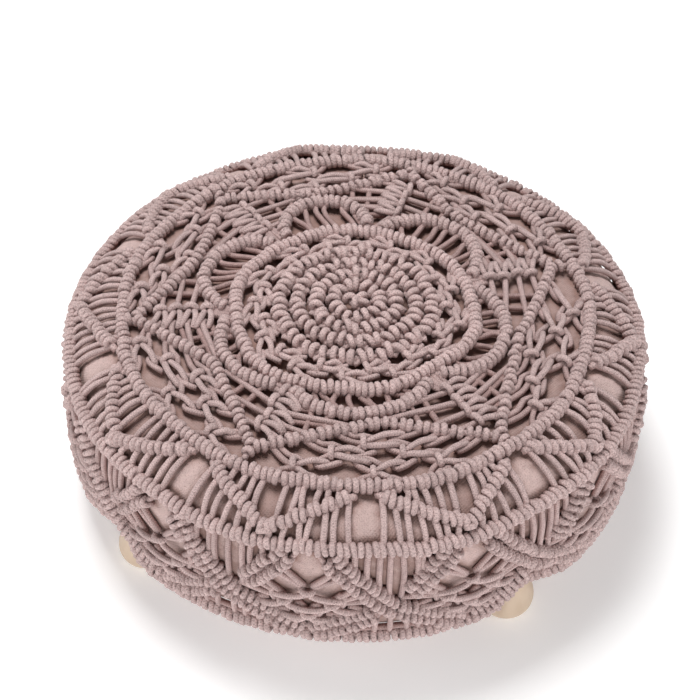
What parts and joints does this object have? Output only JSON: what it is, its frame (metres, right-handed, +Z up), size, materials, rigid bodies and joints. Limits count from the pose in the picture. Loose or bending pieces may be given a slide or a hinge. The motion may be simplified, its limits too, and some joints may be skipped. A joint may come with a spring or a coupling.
{
  "type": "macrame pouf",
  "caption": "Low round pouf: a filled drum cushion on turned wooden bun feet, dressed in a knotted cotton macrame cover with a star on its crown.",
  "frame": {"origin": "on the floor, under the middle of the drum", "axes": "+Z up; -Y faces the viewer of the picture; +X to that viewer's right"},
  "size_m": [0.413, 0.4136, 0.1516],
  "materials": {
    "cushion_cloth": "plain woven cotton, dusty pink",
    "cotton_cord": "soft round cotton cord, dusty rose, matt",
    "pale_wood": "turned pale wood, satin"
  },
  "bodies": {
    "root": {"cushion": "cushion_cloth", "macrame_cover": "cotton_cord", "foot_1": "pale_wood", "foot_2": "pale_wood", "foot_3": "pale_wood", "foot_4": "pale_wood"}
  },
  "joints": []
}
